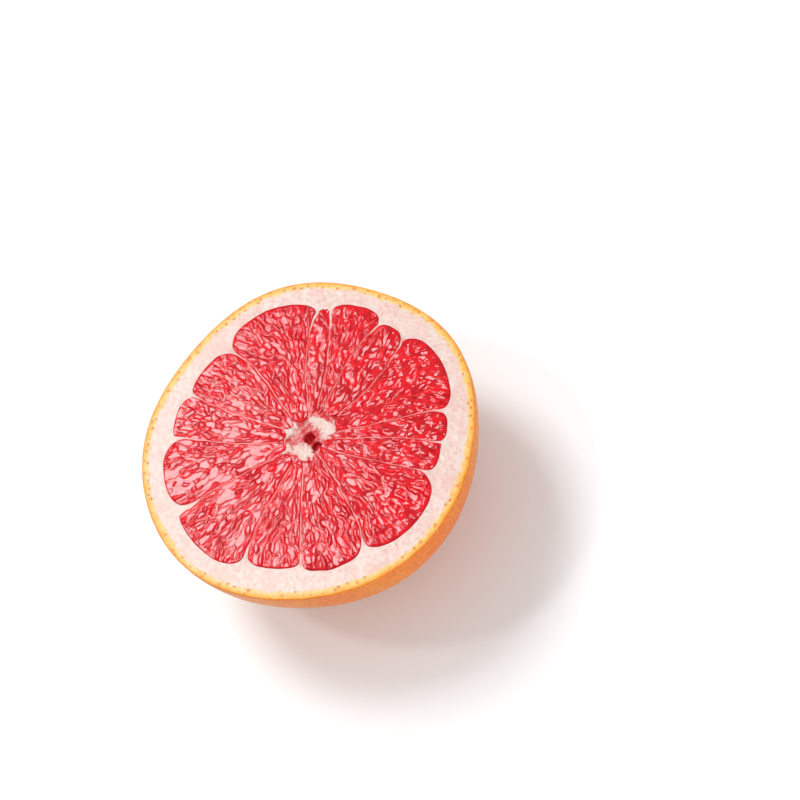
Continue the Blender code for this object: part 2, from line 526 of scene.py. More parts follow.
def weld(piece: bpy.types.Object) -> None:
    """Joins vertices that lie on each other, at seams and poles, and turns the faces outwards."""
    with editing(piece):
        bpy.ops.mesh.select_all(action="SELECT")
        bpy.ops.mesh.remove_doubles(threshold=0.0001 * MM)
        bpy.ops.mesh.normals_make_consistent(inside=False)


def drop_walls(piece: bpy.types.Object, axis: Array, steps: Sequence[tuple[float, float]]) -> None:
    """Draws walls down from an open sheet's edge and closes them at the bottom.

    Args:
        piece: The sheet.
        axis: Where the fruit's axis stands, which the walls are scaled about.
        steps: How far down each wall goes, and how much narrower its lower edge is.
    """
    with editing(piece):
        bpy.ops.mesh.select_mode(type="EDGE")
        bpy.ops.mesh.select_non_manifold()
        for drop, scale in steps:
            bpy.ops.mesh.extrude_region_move(TRANSFORM_OT_translate={"value": (0.0, 0.0, -drop)})
            bpy.ops.transform.resize(value=(scale, scale, 1.0), center_override=(axis[0], axis[1], 0.0))
        bpy.ops.mesh.edge_face_add()
        bpy.ops.mesh.select_all(action="SELECT")
        bpy.ops.mesh.normals_make_consistent(inside=False)
        bpy.ops.mesh.select_mode(type="VERT")


def hand_over(piece: bpy.types.Object, finish: bpy.types.Material, crease: float = 50.0) -> None:
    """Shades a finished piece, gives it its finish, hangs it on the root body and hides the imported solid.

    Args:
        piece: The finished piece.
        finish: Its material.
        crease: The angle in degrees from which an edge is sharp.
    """
    bpy.ops.object.select_all(action="DESELECT")
    piece.select_set(True)
    bpy.context.view_layer.objects.active = piece
    bpy.ops.object.shade_smooth_by_angle(angle=math.radians(crease))
    piece.data.materials.clear()
    piece.data.materials.append(finish)
    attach(piece, BODY)
    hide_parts(NODE)
    log.info("%s: %d faces", piece.name, len(piece.data.polygons))


# ---------------------------------------------------------------------------------------------------------
# Finishes
# ---------------------------------------------------------------------------------------------------------


def display(red: int, green: int, blue: int) -> Colour:
    """A colour as a screen shows it, from 0 to 255, made linear."""

    def linear(level: int) -> float:
        """One channel."""
        share = level / 255
        return share / 12.92 if share <= 0.04045 else ((share + 0.055) / 1.055) ** 2.4

    return linear(red), linear(green), linear(blue)


Socket = bpy.types.NodeSocket

CUT_EDGE = display(244, 196, 112)  # where the peel's band meets the pith
GLAND = display(214, 124, 36)  # oil glands that the knife opened


class NodeBench:
    """Adds nodes to one tree and joins them."""

    def __init__(self, tree: bpy.types.NodeTree) -> None:
        """Keeps the tree.

        Args:
            tree: The tree to work in.
        """
        self.tree = tree

    def add(self, kind: str, **settings: object) -> bpy.types.Node:
        """Adds a node and sets its own properties."""
        node = self.tree.nodes.new(kind)
        for name, value in settings.items():
            setattr(node, name, value)
        return node

    def feed(self, socket: Socket, value: object) -> None:
        """Joins a socket to an input, or sets the input to a number, vector or colour."""
        if isinstance(value, Socket):
            self.tree.links.new(value, socket)
        elif isinstance(value, tuple) and len(value) == 3 and socket.type == "RGBA":
            socket.default_value = (*value, 1.0)
        else:
            socket.default_value = value

    def maths(self, operation: str, first: object, second: object = 0.0) -> Socket:
        """One sum of two numbers."""
        node = self.add("ShaderNodeMath", operation=operation)
        self.feed(node.inputs[0], first)
        self.feed(node.inputs[1], second)
        return node.outputs[0]

    def ease(self, value: object, low: object, high: object, start: float = 0.0, end: float = 1.0) -> Socket:
        """A smooth step from start, where the value is low, to end, where it is high."""
        node = self.add("ShaderNodeMapRange", interpolation_type="SMOOTHSTEP")
        names = ("Value", "From Min", "From Max", "To Min", "To Max")
        for name, number in zip(names, (value, low, high, start, end)):
            self.feed(node.inputs[name], number)
        return node.outputs["Result"]

    def mix(self, share: object, first: object, second: object) -> Socket:
        """A colour between two colours."""
        node = self.add("ShaderNodeMix", data_type="RGBA")
        self.feed(node.inputs["Factor"], share)
        # The node's two colour inputs come after its number and vector inputs, which have the same names.
        self.feed(node.inputs[6], first)
        self.feed(node.inputs[7], second)
        return node.outputs[2]

    def overlay(self, colour: object, mask: Socket, amount: object, other: object) -> Socket:
        """A colour with another laid over it, by an amount where the mask is 1."""
        return self.mix(self.maths("MULTIPLY", mask, amount), colour, other)

    def painted(self, name: str) -> Socket:
        """The numbers that were painted on the piece under a name."""
        return self.add("ShaderNodeAttribute", attribute_name=name).outputs["Fac"]

    def place(self) -> Socket:
        """The point's own place on the piece, in metres."""
        return self.add("ShaderNodeTexCoord").outputs["Object"]

    def noise(self, vector: Socket, scale: object, detail: float = 3.0, roughness: float = 0.55) -> Socket:
        """Cloudy noise from 0 to 1."""
        node = self.add("ShaderNodeTexNoise")
        self.feed(node.inputs["Vector"], vector)
        self.feed(node.inputs["Scale"], scale)
        node.inputs["Detail"].default_value = detail
        node.inputs["Roughness"].default_value = roughness
        return node.outputs["Fac"]

    def roughen(self, shader: bpy.types.Node, height: Socket, strength: float, distance: float) -> None:
        """Bends the shader's light by a fine relief.

        Args:
            shader: The finish's shader.
            height: The relief.
            strength: How much of the relief counts.
            distance: How deep the relief is.
        """
        bump = self.add("ShaderNodeBump")
        bump.inputs["Strength"].default_value = strength
        bump.inputs["Distance"].default_value = distance
        self.feed(bump.inputs["Height"], height)
        self.feed(shader.inputs["Normal"], bump.outputs["Normal"])


class SharedEffects:
    """The node groups that more than one finish uses, and the cut effects that the peel and pith share."""

    def __init__(self) -> None:
        """Builds each group once."""
        self.mottle = self._mottle()
        self.glands = self._glands()
        self.tooth = self._tooth()

    @staticmethod
    def _new(
        name: str, amounts: dict[str, float], result: str
    ) -> tuple[bpy.types.NodeTree, NodeBench, bpy.types.Node, Socket]:
        """Starts a group that turns a place on the piece into one number.

        Args:
            name: The group's name.
            amounts: The group's number inputs and their defaults.
            result: What its output is called.

        Returns:
            The group's tree, a bench on it, its input node, and the socket that takes the result.
        """
        tree = bpy.data.node_groups.new(name, "ShaderNodeTree")
        tree.interface.new_socket("Vector", in_out="INPUT", socket_type="NodeSocketVector")
        for label, amount in amounts.items():
            socket = tree.interface.new_socket(label, in_out="INPUT", socket_type="NodeSocketFloat")
            socket.default_value = amount
        tree.interface.new_socket(result, in_out="OUTPUT", socket_type="NodeSocketFloat")
        bench = NodeBench(tree)
        return tree, bench, bench.add("NodeGroupInput"), bench.add("NodeGroupOutput").inputs[result]

    def _mottle(self) -> bpy.types.NodeTree:
        """Soft patches: a mask that is 1 inside them."""
        amounts = {"Per metre": 100.0, "Low": 0.4, "High": 0.6}
        tree, bench, source, result = self._new("mottle", amounts, "Mask")
        cloud = bench.noise(source.outputs["Vector"], source.outputs["Per metre"], 4.0, 0.6)
        bench.feed(result, bench.ease(cloud, source.outputs["Low"], source.outputs["High"]))
        return tree

    def _glands(self) -> bpy.types.NodeTree:
        """Oil glands that the knife opened: a mask of round spots, some fainter than others."""
        tree, bench, source, result = self._new("glands", {"Per metre": 450.0, "Radius": 0.35}, "Mask")
        cells = bench.add("ShaderNodeTexVoronoi", feature="F1", voronoi_dimensions="2D")
        bench.feed(cells.inputs["Vector"], source.outputs["Vector"])
        bench.feed(cells.inputs["Scale"], source.outputs["Per metre"])
        edge = bench.maths("MULTIPLY", source.outputs["Radius"], 0.6)
        spot = bench.ease(cells.outputs["Distance"], source.outputs["Radius"], edge)
        split = bench.add("ShaderNodeSeparateColor")
        bench.feed(split.inputs[0], cells.outputs["Color"])
        strength = bench.ease(split.outputs["Green"], 0.15, 0.8)
        bench.feed(result, bench.maths("MULTIPLY", spot, strength))
        return tree

    def _tooth(self) -> bpy.types.NodeTree:
        """Fine unevenness for bump: a height from coarse and fine noise."""
        tree, bench, source, result = self._new("tooth", {"Per metre": 800.0, "Fine share": 0.4}, "Height")
        coarse = bench.noise(source.outputs["Vector"], source.outputs["Per metre"], 2.0, 0.5)
        finer = bench.maths("MULTIPLY", source.outputs["Per metre"], 3.7)
        fine = bench.noise(source.outputs["Vector"], finer, 2.0, 0.6)
        part = bench.maths("MULTIPLY", fine, source.outputs["Fine share"])
        bench.feed(result, bench.maths("ADD", coarse, part))
        return tree

    def crumble(self, bench: NodeBench, place: Socket, cut: Socket, share: Socket, crumb: Colour) -> Socket:
        """The cut's colour with small crumbs of another, as far as the share goes."""
        crumbs = use_group(bench, self.mottle, Vector=place, Per_metre=850.0, Low=0.48, High=0.62)
        return bench.overlay(cut, crumbs, share, crumb)

    def open_glands(self, bench: NodeBench, place: Socket, cut: Socket, share: Socket) -> Socket:
        """The cut's colour with opened oil glands, as far as the share goes."""
        glands = use_group(bench, self.glands, Vector=place, Per_metre=520.0, Radius=0.36)
        return bench.overlay(cut, bench.maths("MULTIPLY", glands, share), 0.85, GLAND)


def use_group(bench: NodeBench, tree: bpy.types.NodeTree, **inputs: object) -> Socket:
    """Places a shared group in a finish.

    Args:
        bench: The finish's tree.
        tree: The shared group.
        inputs: The group's inputs by name, with _ for a space.

    Returns:
        What the group works out.
    """
    node = bench.add("ShaderNodeGroup", node_tree=tree)
    for name, value in inputs.items():
        bench.feed(node.inputs[name.replace("_", " ")], value)
    return node.outputs[0]


def new_finish(name: str) -> tuple[bpy.types.Material, NodeBench, bpy.types.Node]:
    """Starts a finish.

    Args:
        name: The material's name.

    Returns:
        The material, a bench on its tree and its Principled shader.
    """
    material = bpy.data.materials.new(name)
    material.use_nodes = True
    bench = NodeBench(material.node_tree)
    shader = material.node_tree.nodes["Principled BSDF"]
    return material, bench, shader


def set_constants(shader: bpy.types.Node, **constants: object) -> None:
    """Sets inputs of a shader that are the same all over, by name, with _ for a space."""
    for name, value in constants.items():
        shader.inputs[name.replace("_", " ")].default_value = value


@dataclass(frozen=True)
class PulpFinish:
    """Wet, translucent juice sacs, with shade painted into the creases between them and along their outer
    end.
    """

    deep: Colour = display(190, 0, 20)
    bright: Colour = display(232, 10, 30)
    wall: Colour = display(250, 110, 110)
    # painted shade: the deep red laid into the creases between sacs and along each segment's outer end
    shade: Colour = display(160, 0, 14)
    wetness: float = 1.0
    dampness: float = 0.25  # in the creases between sacs

    def build(self, effects: SharedEffects) -> bpy.types.Material:
        """Makes the material.

        Args:
            effects: The shared node groups.

        Returns:
            The material.
        """
        material, bench, shader = new_finish("pulp")
        grain = bench.add("ShaderNodeAttribute", attribute_name="grain").outputs["Vector"]
        tone = bench.painted("tone")
        wall = bench.painted("wall")
        gutter_shade = bench.painted("gutter_shade")
        flesh = bench.mix(bench.ease(tone, 0.0, 1.0), self.deep, self.bright)
        flesh = bench.mix(bench.ease(tone, 1.0, 2.0, 0.0, 0.24), flesh, self.wall)
        streaks = use_group(bench, effects.mottle, Vector=grain, Per_metre=1.0, Low=0.52, High=0.72)
        flesh = bench.overlay(flesh, streaks, 0.06, self.wall)
        # painted shade: the creases between sacs and the outer end are darkened in the colour
        flesh = bench.overlay(flesh, gutter_shade, 0.6, self.shade)
        flesh = bench.overlay(flesh, wall, 0.2, self.wall)
        bench.feed(shader.inputs["Base Color"], flesh)
        tooth = use_group(bench, effects.tooth, Vector=grain, Per_metre=1.6, Fine_share=0.3)
        bench.roughen(shader, tooth, 0.2, 0.02 * MM)
        bench.feed(shader.inputs["Coat Weight"], bench.ease(gutter_shade, 0.1, 0.8, self.wetness, self.dampness))
        set_constants(
            shader,
            Roughness=0.32,
            Specular_IOR_Level=0.0,
            IOR=1.36,
            Subsurface_Weight=0.55,
            Subsurface_Radius=(1.0, 0.12, 0.10),
            Subsurface_Scale=2.2 * MM,
            Coat_Roughness=0.02,
            Coat_IOR=1.42,
        )
        return material


@dataclass(frozen=True)
class PithFinish:
    """Moist white pith, membranes and core."""

    pale: Colour = display(228, 209, 200)
    warm: Colour = display(226, 182, 172)
    fleck: Colour = display(204, 138, 132)
    chalk: Colour = display(238, 238, 234)
    blush: Colour = display(208, 26, 42)
    dark: Colour = display(176, 0, 18)
    name: str = "pith"
    glow: float = 1.5 * MM  # how far light runs inside

    def build(self, effects: SharedEffects) -> bpy.types.Material:
        """Makes the material.

        Args:
            effects: The shared node groups.

        Returns:
            The material.
        """
        material, bench, shader = new_finish(self.name)
        place = bench.place()
        clouds = use_group(bench, effects.mottle, Vector=place, Per_metre=160.0, Low=0.4, High=0.66)
        colour = bench.overlay(self.pale, clouds, 0.5, self.warm)
        curds = use_group(bench, effects.mottle, Vector=place, Per_metre=620.0, Low=0.44, High=0.60)
        colour = bench.overlay(colour, curds, 0.6, self.warm)
        flecks = use_group(bench, effects.mottle, Vector=place, Per_metre=900.0, Low=0.60, High=0.70)
        colour = bench.overlay(colour, flecks, 0.75, self.fleck)
        border = bench.painted("border")
        ragged = use_group(bench, effects.mottle, Vector=place, Per_metre=520.0, Low=0.3, High=0.7)
        edge = bench.maths("ADD", border, bench.maths("MULTIPLY", ragged, 0.6))
        edge = bench.maths("MULTIPLY", bench.ease(edge, 0.6, 1.15), bench.ease(border, 0.0, 0.3))
        colour = bench.mix(edge, colour, CUT_EDGE)
        colour = effects.crumble(bench, place, colour, bench.ease(edge, 0.0, 1.0, 0.0, 0.4), self.pale)
        colour = effects.open_glands(bench, place, colour, bench.ease(border, 0.3, 0.7))
        blush = bench.painted("blush")
        colour = bench.mix(bench.ease(blush, 0.0, -1.0), colour, self.chalk)
        colour = bench.mix(bench.ease(blush, 0.0, 1.0), colour, self.blush)
        colour = bench.mix(bench.ease(blush, 1.0, 2.0), colour, self.dark)
        bench.feed(shader.inputs["Base Color"], colour)
        tooth = use_group(bench, effects.tooth, Vector=place, Per_metre=1400.0, Fine_share=0.5)
        bench.roughen(shader, tooth, 0.5, 0.15 * MM)
        wet = bench.ease(blush, 0.3, 0.8, 0.15, 1.0)
        dull = bench.ease(blush, 1.0, 1.5, 1.0, 0.1)
        bench.feed(shader.inputs["Coat Weight"], bench.maths("MULTIPLY", wet, dull))
        set_constants(
            shader,
            Roughness=0.5,
            Specular_IOR_Level=0.35,
            IOR=1.38,
            Subsurface_Weight=0.35,
            Subsurface_Radius=(1.0, 0.6, 0.5),
            Subsurface_Scale=self.glow,
            Coat_Roughness=0.08,
        )
        return material


@dataclass(frozen=True)
class PeelFinish:
    """Waxy orange skin with oil glands, and the yellow band where the knife cut it."""

    skin: Colour = display(224, 130, 6)
    rosy: Colour = display(222, 110, 10)
    gold: Colour = display(240, 150, 18)
    pore: Colour = display(172, 66, 0)
    rim: Colour = display(234, 140, 26)
    band: Colour = display(242, 172, 60)
    cream: Colour = display(236, 208, 160)
    scar: Colour = display(120, 84, 50)
    dimples_per_metre: float = 920.0

    def build(self, effects: SharedEffects) -> bpy.types.Material:
        """Makes the material.

        Args:
            effects: The shared node groups.

        Returns:
            The material.
        """
        material, bench, shader = new_finish("peel")
        place = bench.place()
        rosy = use_group(bench, effects.mottle, Vector=place, Per_metre=28.0, Low=0.42, High=0.62)
        colour = bench.mix(rosy, self.skin, self.rosy)
        golden = use_group(bench, effects.mottle, Vector=place, Per_metre=60.0, Low=0.5, High=0.75)
        colour = bench.overlay(colour, golden, 0.5, self.gold)
        grain = use_group(bench, effects.mottle, Vector=place, Per_metre=1500.0, Low=0.45, High=0.7)
        colour = bench.overlay(colour, grain, 0.5, self.pore)
        colour = bench.overlay(colour, bench.painted("pore"), 0.3, self.pore)
        cells = bench.add("ShaderNodeTexVoronoi", feature="F1")
        bench.feed(cells.inputs["Vector"], place)
        bench.feed(cells.inputs["Scale"], self.dimples_per_metre)
        dimple = bench.ease(cells.outputs["Distance"], 0.52, 0.18)
        colour = bench.overlay(colour, dimple, 0.5, self.pore)
        colour = bench.mix(bench.painted("scar"), colour, self.scar)
        depth = bench.painted("depth")
        drift = use_group(bench, effects.mottle, Vector=place, Per_metre=330.0, Low=0.3, High=0.75)
        reach = bench.maths("ADD", depth, bench.maths("MULTIPLY", drift, 0.35))
        cut = bench.mix(bench.ease(reach, 0.15, 0.6), self.rim, self.band)
        cut = bench.mix(bench.ease(reach, 0.6, 1.2), cut, CUT_EDGE)
        cut = effects.crumble(bench, place, cut, bench.ease(reach, 0.2, 0.9, 0.0, 0.4), self.cream)
        colour = bench.mix(bench.ease(depth, 0.01, 0.16), colour, cut)
        colour = effects.open_glands(bench, place, colour, bench.ease(depth, 0.2, 0.45))
        bench.feed(shader.inputs["Base Color"], colour)
        tooth = use_group(bench, effects.tooth, Vector=place, Per_metre=900.0, Fine_share=0.4)
        bench.roughen(shader, bench.maths("SUBTRACT", tooth, dimple), 0.5, 0.15 * MM)
        set_constants(
            shader,
            Roughness=0.42,
            IOR=1.45,
            Subsurface_Weight=0.15,
            Subsurface_Radius=(1.0, 0.45, 0.15),
            Subsurface_Scale=1.0 * MM,
            Specular_IOR_Level=0.35,
            Coat_Weight=0.1,
            Coat_Roughness=0.25,
        )
        return material


# ---------------------------------------------------------------------------------------------------------
# Rind
# ---------------------------------------------------------------------------------------------------------


class Border:
    """The scalloped line on the cut face where the yellow band of the peel meets the pith."""

    WIDTH = 1.8 * MM
    SCALLOP = 0.55 * MM
    PITCH = 2.1 * MM
    DRIFT_LENGTH = 9.0 * MM
    DRIFT = 0.5 * MM
    SWELL_LENGTH = 31.0 / 3 * MM  # along the rim, for one radian of the sine that deepens the scallops
    COLUMNS = 600  # the peel and the pith share their vertices along this line
    WALL_STEPS = 12  # rings down a wall of the rind
    SETTLE_STEPS = 2  # steps within which a wall leaves the scallops

    def __init__(self, form: FruitForm) -> None:
        """Keeps the form.

        Args:
            form: The fruit's outer form.
        """
        self.form = form
        self.noise = SmoothNoise(23)

    def depth(self, angle: Array) -> Array:
        """How far in from the rim the border lies, in that direction."""
        length = angle * self.form.cut_radius
        # The noise closes on itself after a whole number of waves, so the border has no step where it meets.
        slow = round(TURN * self.form.cut_radius / self.DRIFT_LENGTH)
        quick = round(TURN * self.form.cut_radius / (self.PITCH / 2))
        drift = self._loop(angle, slow, 0.5) * self.DRIFT
        lobes = self._loop(angle, quick, 7.5)
        return self.WIDTH + drift + self.SCALLOP * lobes * (0.6 + 0.4 * np.sin(length / self.SWELL_LENGTH))

    def wall(self, step: int, depth: float) -> Ring:
        """A ring of the wall that the peel and the pith share under this line.

        Args:
            step: Which ring, from 0 on the line to WALL_STEPS at the bottom.
            depth: How far under the skin the wall runs, once it has left the line's scallops.

        Returns:
            What gives the ring's points.
        """
        fall = 1 - step / self.WALL_STEPS
        settle = min(1.0, step / self.SETTLE_STEPS)
        return lambda angle: self.form.skin(angle, fall, self.depth(angle) * (1 - settle) + depth * settle)

    def _loop(self, angle: Array, waves: int, line: float) -> Array:
        """Noise that closes on itself after a whole turn."""
        share = np.mod(angle, TURN) / TURN * waves
        fade = smoothstep(waves - 1.0, float(waves), share)
        return self.noise.at(share, line) * (1 - fade) + self.noise.at(share - waves, line) * fade


def lathe(name: str, columns: int, rings: Sequence[Ring]) -> tuple[bpy.types.Object, Array, Array]:
    """Draws a grid round the fruit's axis, through one ring after another.

    Args:
        name: The piece's name.
        columns: How many cells go round.
        rings: For each ring, what gives its points from their directions in radians.

    Returns:
        The piece, and each vertex's direction and ring number.
    """
    piece, column, row = add_sheet(name, columns, len(rings) - 1)
    angle = column * TURN
    ring = np.round(row * (len(rings) - 1)).astype(int)
    places = np.empty((len(angle), 3))
    for number, points in enumerate(rings):
        chosen = ring == number
        places[chosen] = points(angle[chosen])
    move_vertices(piece, places)
    return piece, angle, ring


@dataclass
class Peel:
    """The skin with its oil glands, down to the flat spot, and the yellow band on the cut."""

    form: FruitForm
    border: Border
    skin_rings: int = 124
    spot_rings: int = 16
    wall: float = 2.0 * MM
    rounding: float = 0.45 * MM  # how far the rim's edge is rounded
    pore_pitch: float = 1.7 * MM
    pore_radius: float = 0.40 * MM
    pore_depth: float = 0.10 * MM
    lump_height: float = 0.08 * MM
    lump_length: float = 6.0 * MM
    spot_relief: float = 0.35  # share of the skin's relief that is left on the flat spot
    scar_radius: float = 1.6 * MM
    scar_depth: float = 0.5 * MM
    brim_shares: tuple[float, ...] = (0.04, 0.1, 0.18, 0.3, 0.5, 0.75, 1.0)  # of the yellow band's width

    def rings(self) -> tuple[list[Ring], list[float]]:
        """The rings from the blossom scar, up the skin, over the rim and down the inner wall.

        Returns:
            What gives each ring's points, and how much of the skin's relief each ring takes.
        """
        form = self.form
        rings: list[Ring] = []
        relief: list[float] = []
        for step in range(self.spot_rings):
            reach = form.rest_radius * step / self.spot_rings
            hollow = self.scar_depth * max(0.0, 1 - (reach / self.scar_radius) ** 2)
            rings.append(lambda angle, reach=reach, hollow=hollow: form.point(angle, reach, hollow))
            relief.append(self.spot_relief)
        start = math.asin(form.rest_radius / form.cut_radius) / (math.pi / 2)
        top = 1 - self.rounding / form.height * 0.62
        for step in range(self.skin_rings + 1):
            fall = start + (top - start) * step / self.skin_rings
            rings.append(lambda angle, fall=fall: form.skin(angle, fall, 0.0))
            relief.append(float(smoothstep(0.0, 2.0, np.array(self.skin_rings - step))))
        for share in self.brim_shares:
            rings.append(lambda angle, share=share: self.brim(angle, share))
            relief.append(0.0)
        for step in range(1, self.border.WALL_STEPS + 1):
            rings.append(self.border.wall(step, self.wall))
            relief.append(0.0)
        return rings, relief

    def brim(self, angle: Array, share: float) -> Array:
        """A ring on the cut, with the edge by the skin rounded off."""
        depth = share * self.border.depth(angle)
        edge = np.clip(1 - depth / self.rounding, 0.0, 1.0)
        places = self.form.skin(angle, 1.0, depth)
        places[..., 2] -= self.rounding * (1 - np.sqrt(1 - edge * edge))
        return places

    def pore_centres(self) -> Array:
        """Where the oil glands sit: rings of them down the skin, each a little out of line."""
        form = self.form
        rng = np.random.default_rng(5)
        centres = []
        arc = math.pi / 2 * math.sqrt((form.cut_radius**2 + form.pole_depth**2) / 2)
        rows = round(arc / (self.pore_pitch * 0.87))
        for row in range(rows):
            fall = (row + 0.5) / rows
            around = TURN * form.cut_radius * math.sin(fall * math.pi / 2)
            count = max(1, round(around / self.pore_pitch))
            turn = (np.arange(count) + rng.uniform(0, 1) + rng.uniform(-0.3, 0.3, count)) / count * TURN
            falls = fall + rng.uniform(-0.28, 0.28, count) / rows
            centres.append(form.skin(turn, falls, 0.0))
        return np.concatenate(centres)

    def pores(self, places: Array, amount: Array) -> Array:
        """How deep in a gland each vertex lies.

        Args:
            places: The vertices.
            amount: How much of the skin's relief each takes.

        Returns:
            From 0 on the plain skin to 1 in the middle of a strong gland.
        """
        centres = self.pore_centres()
        strength = np.random.default_rng(8).uniform(0.55, 1.0, len(centres))
        tree = KDTree(len(centres))
        for number, centre in enumerate(centres):
            tree.insert(centre, number)
        tree.balance()
        pore = np.zeros(len(places))
        for number in np.flatnonzero(amount > 0):
            _, nearest, distance = tree.find(places[number])
            pore[number] = strength[nearest] * math.exp(-((distance / self.pore_radius) ** 2))
        return pore

    def build(self) -> bpy.types.Object:
        """Makes the peel.

        Returns:
            The finished mesh, without its material.
        """
        form = self.form
        rings, relief = self.rings()
        piece, angle, ring = lathe("peel", self.border.COLUMNS, rings)
        places = vertex_places(piece)
        amount = np.array(relief)[ring]
        pore = self.pores(places, amount)
        middle = np.array([form.axis[0], form.axis[1], form.height])
        outwards = places - middle
        outwards /= np.maximum(np.linalg.norm(outwards, axis=1, keepdims=True), 1e-9)
        lump = SmoothNoise(31).at(angle * 7, places[:, 2] / self.lump_length) * self.lump_height
        lump *= smoothstep(0.0, 8.0 * MM, places[:, 2])
        shift = amount * (lump * (amount > 0.9) - self.pore_depth * pore)
        places += outwards * shift[:, None]
        places[:, 2] = np.maximum(places[:, 2], 0.0)
        move_vertices(piece, places)
        reach = np.hypot(places[:, 0] - form.axis[0], places[:, 1] - form.axis[1])
        level = np.abs(places[:, 2] - form.height) < 0.6 * MM
        depth = np.where(level & (amount == 0), (form.rim(angle) - reach) / self.border.depth(angle), 0.0)
        near_spot = places[:, 2] < 1.0 * MM
        scar = np.where(near_spot, 1 - smoothstep(0.8 * self.scar_radius, 1.5 * self.scar_radius, reach), 0.0)
        paint(piece, "pore", pore * (amount > 0))
        paint(piece, "depth", np.clip(depth, 0.0, 1.0))
        paint(piece, "scar", scar)
        weld(piece)
        return piece


@dataclass
class Pith:
    """The white bowl between the peel and the pulp."""

    form: FruitForm
    anatomy: Anatomy
    border: Border
    top_rings: int = 34
    outer_wall: float = 2.0 * MM

    def build(self) -> bpy.types.Object:
        """Makes the pith.

        Returns:
            The finished mesh, without its material.
        """
        form = self.form
        steps = self.border.WALL_STEPS
        rings: list[Ring] = [self.border.wall(steps - step, self.outer_wall) for step in range(steps + 1)]
        for step in range(1, self.top_rings + 1):
            rings.append(lambda angle, share=step / self.top_rings: self.top(angle, share))
        for step in range(1, steps + 1):
            rings.append(lambda angle, fall=1 - step / steps: self.inner_wall(angle, fall))
        piece, angle, ring = lathe("pith", self.border.COLUMNS, rings)
        places = vertex_places(piece)
        top = (ring > steps) & (ring <= steps + self.top_rings)
        share = np.where(top, (ring - steps) / self.top_rings, 0.0)
        grain = SmoothNoise(41)
        x, y = places[:, 0], places[:, 1]
        relief = 0.07 * grain.at(x / (3.1 * MM), y / (3.1 * MM))
        relief += 0.045 * grain.at(x / (0.9 * MM), y / (0.9 * MM) + 9)
        ramp = smoothstep(0.0, 0.12, share) * top
        places[:, 2] += relief * MM * ramp
        move_vertices(piece, places)
        reach = np.hypot(x - form.axis[0], y - form.axis[1])
        inset = form.rim(angle) - reach - self.border.depth(angle)
        paint(piece, "border", (1 - smoothstep(0.0, 1.3 * MM, inset)) * (ring >= steps))
        paint(piece, "blush", np.zeros(len(places)))
        weld(piece)
        return piece

    def top(self, angle: Array, share: float) -> Array:
        """A ring of the level top, at a share of the way from the band to the pulp."""
        start = self.form.rim(angle) - self.border.depth(angle)
        end = self.anatomy.pith_edge(angle)
        return self.form.point(angle, start + (end - start) * share, self.form.height)

    def inner_wall(self, angle: Array, fall: float) -> Array:
        """A ring of the inner wall, under the pulp."""
        return self.form.skin(angle, fall, self.form.rim(angle) - self.anatomy.pith_edge(angle))


# ---------------------------------------------------------------------------------------------------------
# Core and membranes
# ---------------------------------------------------------------------------------------------------------


@dataclass(frozen=True)
class Patch:
    """A soft oval on the core. Lengths are in millimetres from the fruit's axis."""

    x: float
    y: float
    wide: float
    tall: float
    amount: float

    def at(self, x: Array, y: Array) -> Array:
        """How strongly the patch acts at a point, in millimetres."""
        return self.amount * np.exp(-(((x - self.x) / self.wide) ** 2) - ((y - self.y) / self.tall) ** 2)


